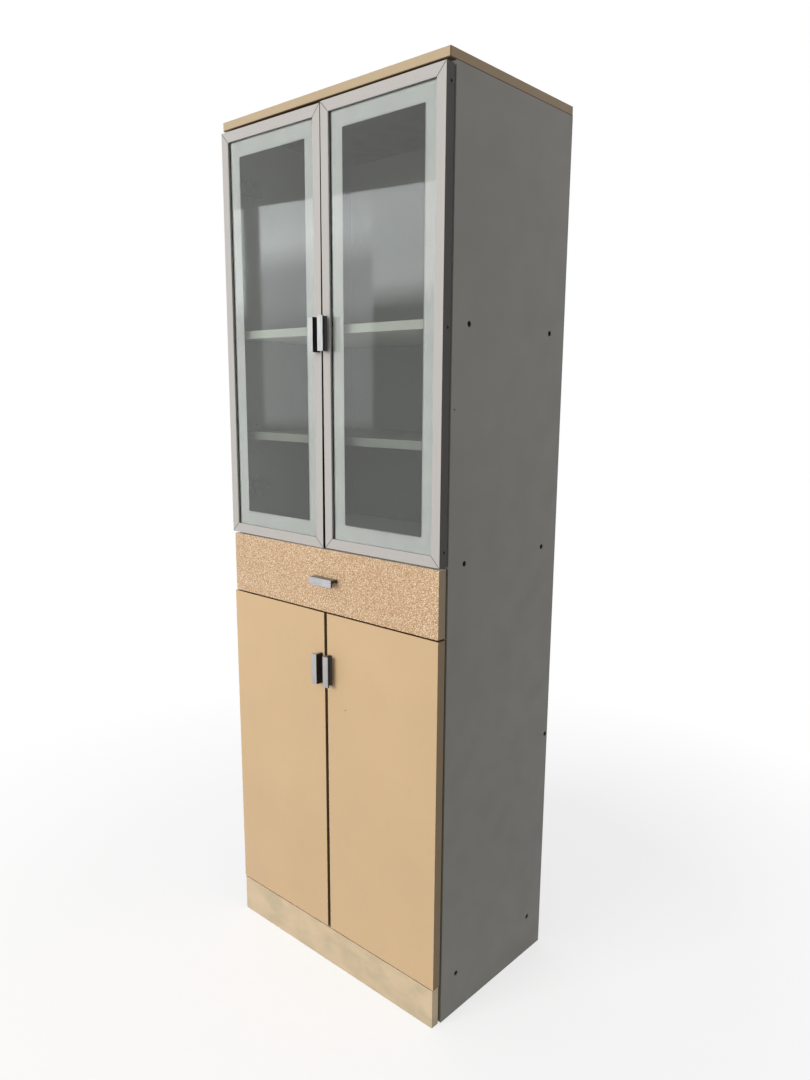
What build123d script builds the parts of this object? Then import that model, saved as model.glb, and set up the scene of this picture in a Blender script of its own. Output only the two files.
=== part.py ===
from build123d import *
import os

# A tall kitchen cupboard: two framed glass doors above, one drawer, two plain doors below.
# Millimetres. +X is right, +Y is the back, +Z is up. The origin is on the floor, under the
# centre of the whole outline, handles included. Boards meet face to face.

# ---- driving dimensions -------------------------------------------------------------------
WIDTH = 600.0
HEIGHT = 1760.0
BOARD = 16.0
TOP_DEPTH = 362.0
DOOR_AHEAD_OF_TOP = 8.0
SIDE_BEHIND_TOP = 15.5

GLASS_DOOR_THICK = 20.0
PLAIN_DOOR_THICK = 19.0
GLASS_DOOR_Z = (925.5, 1737.5)
DRAWER_FRONT_Z = (794.5, 922.0)
PLAIN_DOOR_Z = (85.0, 791.5)
KICK_HEIGHT = 83.0
KICK_THICK = 18.0
GLASS_DOOR_X = (2.5, 299.0)
PLAIN_DOOR_X = (4.0, 299.0)
DRAWER_FRONT_X = (-294.0, 298.5)
KICK_HALF = 297.0

# The left glass door hangs a little out of square: its free edge has dropped.
LEFT_DOOR_SAG_DEG = 0.35
LEFT_DOOR_SHIFT = 3.6

FIXED_SHELF_Z = (86.0, 925.0, 1344.0)
LOOSE_SHELF_Z = (440.0, 1135.0)
BACK_RAIL_Z = (476.5, 536.5)
SCREW_Y_FROM_SIDE_FRONT = (45.5, 295.5)

BACK_PANEL_THICK = 3.0
GROOVE_DEPTH = 6.0
FIT = 0.1

HANDLE_LENGTH = 64.0
HANDLE_LIP = 14.5
HANDLE_REACH = 18.0
HANDLE_PLATE = 5.5
HANDLE_WALL = 3.0
HANDLE_FACE = 1.0
HANDLE_ROOT_BLOCK = 4.5
GLASS_HANDLE_Z = 1335.0
PLAIN_HANDLE_Z = 674.5
GLASS_HANDLE_X = 7.2
PLAIN_HANDLE_X = 9.8
DRAWER_HANDLE_X = 4.0
DRAWER_HANDLE_TOP = 866.0

# ---- planes worked out from them ----------------------------------------------------------
BACK_Y = (TOP_DEPTH + DOOR_AHEAD_OF_TOP + HANDLE_REACH) / 2
TOP_FRONT_Y = BACK_Y - TOP_DEPTH
DOOR_FACE_Y = TOP_FRONT_Y - DOOR_AHEAD_OF_TOP
SIDE_FRONT_Y = TOP_FRONT_Y + SIDE_BEHIND_TOP
SHELF_FRONT_Y = SIDE_FRONT_Y + 1.0
LOOSE_FRONT_Y = SIDE_FRONT_Y + 12.0
GLASS_DOOR_BACK_Y = DOOR_FACE_Y + GLASS_DOOR_THICK
PLAIN_DOOR_BACK_Y = DOOR_FACE_Y + PLAIN_DOOR_THICK
HALF = WIDTH / 2
INNER_X = HALF - BOARD
SIDE_TOP_Z = HEIGHT - BOARD
RAIL_FRONT_Y = BACK_Y - BOARD
PANEL_BACK_Y = RAIL_FRONT_Y - 0.2
PANEL_FRONT_Y = PANEL_BACK_Y - BACK_PANEL_THICK

# ---- screws and shelf pins ----------------------------------------------------------------
SCREW_HEAD_R = 5.0
SCREW_SHANK_R = 2.5
SCREW_LENGTH = 45.0
SCREW_SUNK = 2.0
SCREW_HEAD_H = 3.0
TOP_SCREW_Y_FROM_BACK = (50.0, 300.0)
PIN_R = 2.5
PIN_OUT = 9.0
PIN_IN = 8.0
PIN_PITCH = 32.0
PIN_COLUMN_Y = (SIDE_FRONT_Y + 37.0, BACK_Y - 54.0)

# ---- hinges -------------------------------------------------------------------------------
HINGE_FROM_DOOR_END = 100.0
PLATE_Y = SIDE_FRONT_Y + 37.0
PLATE_THICK = 2.5
ARM_INNER_X = 275.0
NOSE_X = (272.0, 282.0)
NOSE_END_Y = DOOR_FACE_Y + 13.0
CUP_R = 17.5
CUP_DEPTH = 11.5
CUP_FROM_EDGE = 22.5
CUP_WALL = 1.0

# ---- aluminium door profile, seen on its end: u inwards from the outer edge, w backwards ----
PROFILE_FACE = 20.0
LIP = 2.0
TUBE_W = 11.0
WALL = 1.5
LEG = (10.0, 11.5)
LEG_END = 18.0
GLASS_FRONT = 5.0
GLASS_THICK = 4.0
GLASS_EDGE = 13.0
FRAME_SCREW_W = 13.3
FRAME_SCREW_FROM_END = 27.0
FRAME_SCREW_HEAD_R = 3.0

# ---- drawer -------------------------------------------------------------------------------
BOX_Z = (806.0, 896.0)
BOX_SIDE = 12.0
BOX_OUT_X = INNER_X - 12.5
BOX_LENGTH = 300.0
BOX_BOTTOM_UP = 10.0
STEEL = 1.2
ROLLER_R = 9.5
ROLLER_X = (274.2, 281.2)
AXLE_R = 2.5
AXLE_HEAD = 0.6
AXLE_END_GAP = 0.9
RAIL_HEIGHT = 24.2
RAIL_START_Y = SIDE_FRONT_Y + 2.5
FRONT_ROLLER_Y = RAIL_START_Y + 12.0
REAR_ROLLER_Y = PLAIN_DOOR_BACK_Y + BOX_LENGTH - 12.0
ROLLER_Z = BOX_Z[0] + 11.0


# ---- how round the round things are -------------------------------------------------------
ROUND = 0
FEW_SIDES = 8
HEAD_SIDES = 12
CUP_SIDES = 24


# ---- shape helpers ------------------------------------------------------------------------
def slab(x, y, z):
    """A board between two planes along each axis."""
    size = [abs(pair[1] - pair[0]) for pair in (x, y, z)]
    centre = [(pair[0] + pair[1]) / 2 for pair in (x, y, z)]
    return Pos(*centre) * Box(*size)


def rod(axis, start, end, at, radius, sides=FEW_SIDES):
    """A bar along X, Y or Z. The two values in 'at' place it across that axis.

    Small screws, pins and their holes have a few flat sides. With sides=ROUND it is round.
    """
    length = abs(end - start)
    middle = (start + end) / 2
    if sides == ROUND:
        bar = Cylinder(radius, length)
    else:
        bar = extrude(RegularPolygon(radius, sides), amount=length / 2, both=True)
    if axis == "x":
        return Pos(middle, *at) * Rot(0, 90, 0) * bar
    if axis == "y":
        return Pos(at[0], middle, at[1]) * Rot(90, 0, 0) * bar
    return Pos(*at, middle) * bar


def outline(points):
    """A flat face from its corner points."""
    return make_face(Polyline(*points, close=True))


def both_sides(shape):
    """The shape and its mirror image on the left."""
    return [shape, mirror(shape, about=Plane.YZ)]


def on_side(shape, side):
    """A shape drawn for the right, kept there or mirrored to the left."""
    return shape if side == "right" else mirror(shape, about=Plane.YZ)


def save(node, shape):
    """Write one node. A list is a group of separate solids."""
    solids = []
    for item in shape if isinstance(shape, list) else [shape]:
        solids.extend(item.solids())
    body = solids[0] if len(solids) == 1 else Compound(children=solids)
    export_step(body, f"parts/{node}.step")


# ---- carcass ------------------------------------------------------------------------------
def screw_ys():
    return [SIDE_FRONT_Y + offset for offset in SCREW_Y_FROM_SIDE_FRONT]


def side_screw_places():
    """Heights and depths of the screws through each side panel."""
    places = [(y, z) for z in FIXED_SHELF_Z for y in screw_ys()]
    return places + [(BACK_Y - BOARD / 2, sum(BACK_RAIL_Z) / 2)]


def top_screw_places():
    return [BACK_Y - offset for offset in TOP_SCREW_Y_FROM_BACK]


def pin_top(shelf_z):
    return shelf_z - BOARD / 2


def side_panel():
    panel = slab((INNER_X, HALF), (SIDE_FRONT_Y, BACK_Y), (0, SIDE_TOP_Z))
    groove_y = (PANEL_FRONT_Y - FIT, PANEL_BACK_Y + FIT)
    panel -= slab((INNER_X - 1, INNER_X + GROOVE_DEPTH), groove_y, (BOARD, SIDE_TOP_Z + 1))
    for y, z in side_screw_places():
        panel -= rod("x", INNER_X - 1, HALF + 1, (y, z), SCREW_SHANK_R + FIT)
        head_x = HALF - SCREW_SUNK - SCREW_HEAD_H
        panel -= rod("x", head_x, HALF + 1, (y, z), SCREW_HEAD_R + FIT, HEAD_SIDES)
    for y in top_screw_places():
        depth = SCREW_LENGTH - BOARD + 1
        panel -= rod("z", SIDE_TOP_Z - depth, SIDE_TOP_Z + 1, (HALF - BOARD / 2, y), SCREW_SHANK_R + FIT)
    for shelf_z in LOOSE_SHELF_Z:
        for y in PIN_COLUMN_Y:
            for step in (-1, 0, 1):
                z = pin_top(shelf_z) - PIN_R + step * PIN_PITCH
                panel -= rod("x", INNER_X - 1, INNER_X + PIN_IN + 1, (y, z), PIN_R + FIT)
    return panel


def top_board():
    board = slab((-HALF, HALF), (TOP_FRONT_Y, BACK_Y), (SIDE_TOP_Z, HEIGHT))
    board = fillet(board.edges().filter_by(Axis.Z), 2.0)
    for x in (-HALF + BOARD / 2, HALF - BOARD / 2):
        for y in top_screw_places():
            board -= rod("z", SIDE_TOP_Z - 1, HEIGHT + 1, (x, y), SCREW_SHANK_R + FIT)
            head_z = HEIGHT - SCREW_SUNK - SCREW_HEAD_H
            board -= rod("z", head_z, HEIGHT + 1, (x, y), SCREW_HEAD_R + FIT, HEAD_SIDES)
    return board


def fixed_board(z):
    """A full-width board screwed between the side panels."""
    board = slab((-INNER_X, INNER_X), (SHELF_FRONT_Y, PANEL_FRONT_Y), (z - BOARD / 2, z + BOARD / 2))
    for y in screw_ys():
        pilot = rod("x", HALF - SCREW_LENGTH - 1, INNER_X + 1, (y, z), SCREW_SHANK_R + FIT)
        for hole in both_sides(pilot):
            board -= hole
    return board


def back_rail():
    rail = slab((-INNER_X, INNER_X), (RAIL_FRONT_Y, BACK_Y), BACK_RAIL_Z)
    at = (BACK_Y - BOARD / 2, sum(BACK_RAIL_Z) / 2)
    for hole in both_sides(rod("x", HALF - SCREW_LENGTH - 1, INNER_X + 1, at, SCREW_SHANK_R + FIT)):
        rail -= hole
    return rail


def back_panel(z):
    half = INNER_X + GROOVE_DEPTH - 0.5
    return slab((-half, half), (PANEL_FRONT_Y, PANEL_BACK_Y), z)


def loose_shelf(z):
    half = INNER_X - 1.0
    return slab((-half, half), (LOOSE_FRONT_Y, PANEL_FRONT_Y - 2.0), (z - BOARD / 2, z + BOARD / 2))


def shelf_pins():
    pins = []
    for shelf_z in LOOSE_SHELF_Z:
        for y in PIN_COLUMN_Y:
            at = (y, pin_top(shelf_z) - PIN_R)
            pins += both_sides(rod("x", INNER_X - PIN_OUT, INNER_X + PIN_IN, at, PIN_R))
    return pins


def carcass_screws():
    """Recessed screws: a head below the surface and a shank into the next board."""
    screws = []
    outer = HALF - SCREW_SUNK
    for at in side_screw_places():
        head = rod("x", outer - SCREW_HEAD_H, outer, at, SCREW_HEAD_R, HEAD_SIDES)
        screws += both_sides(head + rod("x", HALF - SCREW_LENGTH, outer - 1, at, SCREW_SHANK_R))
    top = HEIGHT - SCREW_SUNK
    for y in top_screw_places():
        at = (HALF - BOARD / 2, y)
        head = rod("z", top - SCREW_HEAD_H, top, at, SCREW_HEAD_R, HEAD_SIDES)
        screws += both_sides(head + rod("z", HEIGHT - SCREW_LENGTH, top - 1, at, SCREW_SHANK_R))
    return screws


def kick_board():
    return slab((-KICK_HALF, KICK_HALF), (DOOR_FACE_Y, DOOR_FACE_Y + KICK_THICK), (0, KICK_HEIGHT))


def kick_corner_blocks():
    """Blocks that hold the kick board to the inner face of each side panel."""
    block = slab((INNER_X - 20, INNER_X), (DOOR_FACE_Y + KICK_THICK, SIDE_FRONT_Y + 42), (6, 70))
    block = chamfer(block.edges().filter_by(Axis.Z).sort_by(Axis.Y)[-2:].sort_by(Axis.X)[0], 12)
    return both_sides(block)


def door_bumpers():
    """Soft pads on the front edges of the fixed boards, where the free door edges land."""
    pads = []
    for board_z, x, door_back in (
        (FIXED_SHELF_Z[2], 8.0, GLASS_DOOR_BACK_Y),
        (FIXED_SHELF_Z[1] + 5, 8.0, GLASS_DOOR_BACK_Y),
        (FIXED_SHELF_Z[0] + 4, 14.0, PLAIN_DOOR_BACK_Y),
    ):
        pads += both_sides(rod("y", door_back + 0.3, SHELF_FRONT_Y, (x, board_z), 3.4, HEAD_SIDES))
    return pads


# ---- hinges -------------------------------------------------------------------------------
def hinge_heights():
    heights = []
    for low, high in (GLASS_DOOR_Z, PLAIN_DOOR_Z):
        heights += [low + HINGE_FROM_DOOR_END, high - HINGE_FROM_DOOR_END]
    return heights


def plate_screw_places(z):
    return [(PLATE_Y, z - 16.0), (PLATE_Y, z + 16.0)]


def mounting_plate(z):
    """Cross-shaped plate on the side panel. The arm clips over its long leg."""
    face = (INNER_X - PLATE_THICK, INNER_X)
    plate = slab(face, (PLATE_Y - 26, PLATE_Y + 24), (z - 7.5, z + 7.5))
    wings = slab(face, (PLATE_Y - 8, PLATE_Y + 8), (z - 24, z + 24))
    plate += chamfer(wings.edges().filter_by(Axis.X), 4)
    for at in plate_screw_places(z):
        plate -= rod("x", INNER_X - PLATE_THICK - 1, INNER_X + 1, at, 2.2)
    return plate


def plate_screws():
    screws = []
    for z in hinge_heights():
        for at in plate_screw_places(z):
            seat = INNER_X - PLATE_THICK
            screws += both_sides(rod("x", seat - 1.6, seat, at, 3.8) + rod("x", seat - 1, INNER_X, at, 2.1))
    return screws


def hinge_arm(z):
    """Cranked arm: a U channel over the plate and a nose that reaches into the cup."""
    plate_face = INNER_X - PLATE_THICK
    plan = outline([
        (plate_face, PLATE_Y + 24), (ARM_INNER_X, PLATE_Y + 24), (ARM_INNER_X, PLATE_Y - 18),
        (NOSE_X[0], PLATE_Y - 26), (NOSE_X[0], NOSE_END_Y), (NOSE_X[1], NOSE_END_Y),
        (NOSE_X[1], SIDE_FRONT_Y - 1), (plate_face, SIDE_FRONT_Y + 3),
    ])
    arm = Pos(0, 0, z) * extrude(plan, amount=8.5, both=True)
    arm = chamfer(arm.edges().filter_by(Axis.Z).group_by(Axis.Y)[0], 2.5)
    arm -= slab((ARM_INNER_X + STEEL, plate_face + 1), (PLATE_Y - 17, PLATE_Y + 23), (z - 7.3, z + 7.3))
    slot_y = (NOSE_END_Y - 1, SIDE_FRONT_Y - 3)
    arm -= slab((NOSE_X[0] + 2, NOSE_X[1] - 2), slot_y, (z - 5.5, z + 5.5))
    for y in (PLATE_Y - 10, PLATE_Y + 12):
        arm += rod("x", ARM_INNER_X - 1, ARM_INNER_X + STEEL / 2, (y, z), 3.2)
    return arm


def hinge_cup(z):
    """Round steel cup sunk in the back of a plain door, with its rim and ears."""
    x = PLAIN_DOOR_X[1] - CUP_FROM_EDGE
    back = PLAIN_DOOR_BACK_Y
    cup = rod("y", back - CUP_DEPTH, back, (x, z), CUP_R, CUP_SIDES)
    cup += rod("y", back, back + CUP_WALL, (x, z), CUP_R + 1.5, CUP_SIDES)
    ears = slab((x - 5, x + 8), (back, back + CUP_WALL), (z - 30, z + 30))
    cup += chamfer(ears.edges().filter_by(Axis.Y), 3)
    cup -= rod("y", back - CUP_DEPTH + CUP_WALL, back + 2, (x, z), CUP_R - CUP_WALL, CUP_SIDES)
    for dz in (-24, 24):
        cup += rod("y", back + CUP_WALL / 2, back + CUP_WALL + 0.8, (x + 1.5, z + dz), 3.5)
    return cup


def hinge_block(z):
    """Steel pocket fixed behind the hinge stile of a glass door."""
    inner_wall = GLASS_DOOR_X[1] - TUBE_W
    y = (DOOR_FACE_Y + LEG[1], GLASS_DOOR_BACK_Y)
    block = slab((inner_wall - 19, inner_wall), y, (z - 24, z + 24))
    block = chamfer(block.edges().filter_by(Axis.Y).group_by(Axis.X)[0], 3)
    block -= slab((inner_wall - 17.5, inner_wall - 1.5), (y[0] + 1, y[1] + 1), (z - 10, z + 10))
    for dz in (-17, 17):
        block += rod("y", y[1] - 1, y[1] + 0.9, (inner_wall - 8, z + dz), 3.5)
    return block


# ---- glass doors --------------------------------------------------------------------------
def mitred_bar(section, length):
    """A length of profile along +Z from the origin, its ends cut at 45 degrees."""
    bar = extrude(section, amount=length)
    reach = PROFILE_FACE
    shape = Plane.XZ * outline([(0, 0), (0, length), (reach, length - reach), (reach, reach)])
    return bar & extrude(shape, amount=-GLASS_DOOR_THICK)


def frame_section():
    body = outline([
        (0, 0), (PROFILE_FACE, 0), (PROFILE_FACE, LIP), (TUBE_W, LIP), (TUBE_W, LEG[0]),
        (LEG_END, LEG[0]), (LEG_END, LEG[1]), (TUBE_W, LEG[1]),
        (TUBE_W, GLASS_DOOR_THICK), (0, GLASS_DOOR_THICK),
    ])
    body = fillet(body.vertices().group_by(Axis.Y)[0], 0.6)
    chamber = outline([
        (WALL, WALL), (TUBE_W - WALL, WALL),
        (TUBE_W - WALL, GLASS_DOOR_THICK - WALL), (WALL, GLASS_DOOR_THICK - WALL),
    ])
    return body - chamber


def gasket_section():
    """U-shaped strip round the edge of the pane."""
    glass_back = GLASS_FRONT + GLASS_THICK
    end = PROFILE_FACE - 0.5
    return outline([
        (TUBE_W, LIP), (end, LIP), (end, GLASS_FRONT), (GLASS_EDGE, GLASS_FRONT),
        (GLASS_EDGE, glass_back), (LEG_END, glass_back), (LEG_END, LEG[0]), (TUBE_W, LEG[0]),
    ])


def door_frame_planes():
    """Where each bar starts: name, plane and length. Local X runs into the door, local Y back."""
    x0, x1 = GLASS_DOOR_X
    z0, z1 = GLASS_DOOR_Z
    tall = z1 - z0
    wide = x1 - x0
    return [
        ("hinge_stile", Plane((x1, DOOR_FACE_Y, z1), x_dir=(-1, 0, 0), z_dir=(0, 0, -1)), tall),
        ("centre_stile", Plane((x0, DOOR_FACE_Y, z0), x_dir=(1, 0, 0), z_dir=(0, 0, 1)), tall),
        ("top_rail", Plane((x0, DOOR_FACE_Y, z1), x_dir=(0, 0, -1), z_dir=(1, 0, 0)), wide),
        ("bottom_rail", Plane((x1, DOOR_FACE_Y, z0), x_dir=(0, 0, 1), z_dir=(-1, 0, 0)), wide),
    ]


def frame_screw_heights():
    low, high = GLASS_DOOR_Z
    return [low + FRAME_SCREW_FROM_END, GLASS_HANDLE_Z, high - FRAME_SCREW_FROM_END]


def frame_screw_bore(z, grow):
    """The screw in the side of the hinge stile, or its bore when grown."""
    outer = GLASS_DOOR_X[1]
    at = (DOOR_FACE_Y + FRAME_SCREW_W, z)
    head = rod("x", outer - 1.6, outer - 0.6, at, FRAME_SCREW_HEAD_R + grow)
    return head + rod("x", outer - TUBE_W, outer - 1, at, 1.3 + grow)


def corner_bracket(at_top):
    """L-shaped block in the chambers of two bars."""
    x1 = GLASS_DOOR_X[1] - WALL - FIT
    z1 = GLASS_DOOR_Z[1] - WALL - FIT
    leg = TUBE_W - 2 * WALL - 2 * FIT
    long = 40.0
    plan = Plane.XZ * outline([
        (x1, z1), (x1 - long, z1), (x1 - long, z1 - leg), (x1 - leg, z1 - leg),
        (x1 - leg, z1 - long), (x1, z1 - long),
    ])
    bracket = Pos(0, DOOR_FACE_Y + WALL + 1, 0) * extrude(plan, amount=-15)
    if at_top:
        return bracket
    return mirror(bracket, about=Plane((0, 0, sum(GLASS_DOOR_Z) / 2), z_dir=(0, 0, 1)))


def corner_brackets():
    middle = Plane((sum(GLASS_DOOR_X) / 2, 0, 0), z_dir=(1, 0, 0))
    outer = [corner_bracket(True), corner_bracket(False)]
    inner = [mirror(bracket, about=middle) for bracket in outer]
    for z in frame_screw_heights():
        outer = [bracket - frame_screw_bore(z, 0.1) for bracket in outer]
    return outer + inner


def glass_pane():
    x0, x1 = GLASS_DOOR_X
    z0, z1 = GLASS_DOOR_Z
    front = DOOR_FACE_Y + GLASS_FRONT
    edge = GLASS_EDGE
    return slab((x0 + edge, x1 - edge), (front, front + GLASS_THICK), (z0 + edge, z1 - edge))


def glass_door():
    """All nodes of the right glass door."""
    nodes = {}
    strips = []
    for name, plane, length in door_frame_planes():
        nodes[name] = plane.location * mitred_bar(frame_section(), length)
        strips.append(plane.location * mitred_bar(gasket_section(), length))
    for z in frame_screw_heights():
        nodes["hinge_stile"] -= frame_screw_bore(z, 0.1)
        at = (DOOR_FACE_Y + FRAME_SCREW_W, z)
        edge = GLASS_DOOR_X[1]
        nodes["hinge_stile"] -= rod("x", edge - 1.6, edge + 1, at, FRAME_SCREW_HEAD_R + 0.1)
    nodes["gasket"] = strips[0] + strips[1] + strips[2] + strips[3]
    nodes["glass"] = glass_pane()
    nodes["corner_brackets"] = corner_brackets()
    nodes["frame_screws"] = [frame_screw_bore(z, 0) for z in frame_screw_heights()]
    low, high = GLASS_DOOR_Z
    heights = (low + HINGE_FROM_DOOR_END, high - HINGE_FROM_DOOR_END)
    nodes["hinge_blocks"] = [hinge_block(z) for z in heights]
    grip, face = door_handle(GLASS_HANDLE_X, GLASS_HANDLE_Z)
    nodes["handle"] = grip
    nodes["handle_face"] = face
    return nodes


def hang_left(shape):
    """Mirror a piece of the right glass door to the left and let it sag about its top corner."""
    left = Pos(LEFT_DOOR_SHIFT, 0, 0) * mirror(shape, about=Plane.YZ)
    corner = (LEFT_DOOR_SHIFT - GLASS_DOOR_X[1], 0, GLASS_DOOR_Z[1])
    return left.rotate(Axis(corner, (0, 1, 0)), LEFT_DOOR_SAG_DEG)


# ---- handles ------------------------------------------------------------------------------
def handle_section():
    """L-shaped section of the grip and of its bright face. Local X across, local Y backwards."""
    root = HANDLE_REACH
    front = HANDLE_FACE
    grip = outline([
        (0, front), (HANDLE_LIP, front), (HANDLE_LIP, front + HANDLE_WALL),
        (HANDLE_PLATE + 2, front + HANDLE_WALL), (HANDLE_PLATE, front + HANDLE_WALL + 3),
        (HANDLE_PLATE, root - HANDLE_ROOT_BLOCK), (HANDLE_PLATE + 3, root), (0, root),
    ])
    face = outline([(0, 0), (HANDLE_LIP, 0), (HANDLE_LIP, front), (0, front)])
    return grip, face


def placed_handle(plane):
    grip, face = handle_section()
    return [plane.location * extrude(part, amount=HANDLE_LENGTH) for part in (grip, face)]


def door_handle(x, z):
    """Upright handle of a right-hand door. Its plate is next to the centre gap."""
    low = z - HANDLE_LENGTH / 2
    corner = (x, DOOR_FACE_Y - HANDLE_REACH, low)
    return placed_handle(Plane(corner, x_dir=(1, 0, 0), z_dir=(0, 0, 1)))


def drawer_handle():
    """Level handle. Its plate is on top and its lip hangs down."""
    start_x = DRAWER_HANDLE_X - HANDLE_LENGTH / 2
    corner = (start_x, DOOR_FACE_Y - HANDLE_REACH, DRAWER_HANDLE_TOP)
    return placed_handle(Plane(corner, x_dir=(0, 0, -1), z_dir=(1, 0, 0)))


# ---- plain doors --------------------------------------------------------------------------
def plain_door():
    """All nodes of the right lower door."""
    panel = slab(PLAIN_DOOR_X, (DOOR_FACE_Y, PLAIN_DOOR_BACK_Y), PLAIN_DOOR_Z)
    low, high = PLAIN_DOOR_Z
    heights = (low + HINGE_FROM_DOOR_END, high - HINGE_FROM_DOOR_END)
    x = PLAIN_DOOR_X[1] - CUP_FROM_EDGE
    for z in heights:
        bore_y = (PLAIN_DOOR_BACK_Y - CUP_DEPTH, PLAIN_DOOR_BACK_Y + 1)
        panel -= rod("y", *bore_y, (x, z), CUP_R + FIT, CUP_SIDES)
    grip, face = door_handle(PLAIN_HANDLE_X, PLAIN_HANDLE_Z)
    return {
        "door_panel": panel,
        "hinge_cups": [hinge_cup(z) for z in heights],
        "handle": grip,
        "handle_face": face,
    }


# ---- drawer -------------------------------------------------------------------------------
def box_bottom_z():
    low = BOX_Z[0] + BOX_BOTTOM_UP
    return (low, low + BACK_PANEL_THICK)


def grown(pair):
    return (pair[0] - FIT, pair[1] + FIT)


def drawer_front():
    front = slab(DRAWER_FRONT_X, (DOOR_FACE_Y, PLAIN_DOOR_BACK_Y), DRAWER_FRONT_Z)
    groove_y = (PLAIN_DOOR_BACK_Y - GROOVE_DEPTH, PLAIN_DOOR_BACK_Y + 1)
    inner = BOX_OUT_X - BOX_SIDE + GROOVE_DEPTH
    return front - slab((-inner, inner), groove_y, grown(box_bottom_z()))


def drawer_side():
    y = (PLAIN_DOOR_BACK_Y, PLAIN_DOOR_BACK_Y + BOX_LENGTH)
    side = slab((BOX_OUT_X - BOX_SIDE, BOX_OUT_X), y, BOX_Z)
    groove_x = (BOX_OUT_X - BOX_SIDE - 1, BOX_OUT_X - BOX_SIDE + GROOVE_DEPTH)
    return side - slab(groove_x, (y[0] - 1, y[1] + 1), grown(box_bottom_z()))


def drawer_back():
    inner = BOX_OUT_X - BOX_SIDE
    end = PLAIN_DOOR_BACK_Y + BOX_LENGTH
    return slab((-inner, inner), (end - BOX_SIDE, end), (box_bottom_z()[1] + FIT, BOX_Z[1]))


def drawer_bottom():
    half = BOX_OUT_X - BOX_SIDE + GROOVE_DEPTH - 0.5
    y = (PLAIN_DOOR_BACK_Y - GROOVE_DEPTH + 0.5, PLAIN_DOOR_BACK_Y + BOX_LENGTH)
    return slab((-half, half), y, box_bottom_z())


def runner_rail():
    """Fixed C-shaped rail on the right side panel."""
    low = BOX_Z[0]
    high = low + RAIL_HEIGHT
    section = outline([
        (INNER_X, low), (INNER_X, high), (INNER_X - 9, high), (INNER_X - 9, high - STEEL),
        (INNER_X - STEEL, high - STEEL), (INNER_X - STEEL, low + STEEL),
        (INNER_X - 10.5, low + STEEL), (INNER_X - 10.5, low),
    ])
    plane = Plane((0, RAIL_START_Y + BOX_LENGTH, 0), x_dir=(1, 0, 0), z_dir=(0, -1, 0))
    return plane.location * extrude(section, amount=BOX_LENGTH)


def drawer_runner():
    """Moving rail that wraps the lower edge of the right drawer side."""
    low = BOX_Z[0]
    web = (BOX_OUT_X, BOX_OUT_X + STEEL)
    high = low + 22.0
    section = outline([
        (BOX_OUT_X - BOX_SIDE, low - STEEL), (web[1], low - STEEL), (web[1], high - STEEL),
        (BOX_OUT_X + 10, high - STEEL), (BOX_OUT_X + 10, high), (web[0], high), (web[0], low),
        (BOX_OUT_X - BOX_SIDE, low),
    ])
    plane = Plane((0, PLAIN_DOOR_BACK_Y + BOX_LENGTH, 0), x_dir=(1, 0, 0), z_dir=(0, -1, 0))
    return plane.location * extrude(section, amount=BOX_LENGTH)


def axle(y, root_x, end_x):
    """Riveted axle from the web of a rail, with a head that keeps the roller on."""
    at = (y, ROLLER_Z)
    head_x = end_x + AXLE_HEAD if end_x < root_x else end_x - AXLE_HEAD
    shank = rod("x", root_x, end_x, at, AXLE_R, HEAD_SIDES)
    return shank + rod("x", head_x, end_x, at, AXLE_R + 1.5, HEAD_SIDES)


def roller(y):
    """Nylon roller that turns on an axle."""
    wheel = rod("x", *ROLLER_X, (y, ROLLER_Z), ROLLER_R, ROUND)
    return wheel - rod("x", ROLLER_X[0] - 1, ROLLER_X[1] + 1, (y, ROLLER_Z), AXLE_R + 0.3, HEAD_SIDES)


# ---- all nodes ----------------------------------------------------------------------------
def save_carcass():
    panel = side_panel()
    for side in ("left", "right"):
        save(f"side_panel_{side}", on_side(panel, side))
    save("top_board", top_board())
    for name, z in zip(("bottom_board", "middle_board", "upper_fixed_shelf"), FIXED_SHELF_Z):
        save(name, fixed_board(z))
    for name, z in zip(("lower_loose_shelf", "upper_loose_shelf"), LOOSE_SHELF_Z):
        save(name, loose_shelf(z))
    save("shelf_pins", shelf_pins())
    save("carcass_screws", carcass_screws())
    save("back_rail", back_rail())
    split_z = FIXED_SHELF_Z[1]
    save("lower_back_panel", back_panel((FIXED_SHELF_Z[0] - BOARD / 2, split_z - 0.5)))
    save("upper_back_panel", back_panel((split_z + 0.5, SIDE_TOP_Z)))
    save("kick_board", kick_board())
    save("kick_corner_blocks", kick_corner_blocks())
    save("door_bumpers", door_bumpers())
    save("hinge_mounting_plates", [p for z in hinge_heights() for p in both_sides(mounting_plate(z))])
    save("hinge_arms", [arm for z in hinge_heights() for arm in both_sides(hinge_arm(z))])
    save("hinge_plate_screws", plate_screws())
    front_axle = axle(FRONT_ROLLER_Y, INNER_X - STEEL, ROLLER_X[0] - AXLE_END_GAP)
    save("runner_rails", both_sides(runner_rail()) + both_sides(front_axle))
    save("cabinet_rollers", both_sides(roller(FRONT_ROLLER_Y)))


def save_doors():
    for name, shape in glass_door().items():
        save(f"upper_right_{name}", shape)
        pieces = shape if isinstance(shape, list) else [shape]
        save(f"upper_left_{name}", [hang_left(piece) for piece in pieces])
    for name, shape in plain_door().items():
        pieces = shape if isinstance(shape, list) else [shape]
        for side in ("left", "right"):
            save(f"lower_{side}_{name}", [on_side(piece, side) for piece in pieces])


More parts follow.
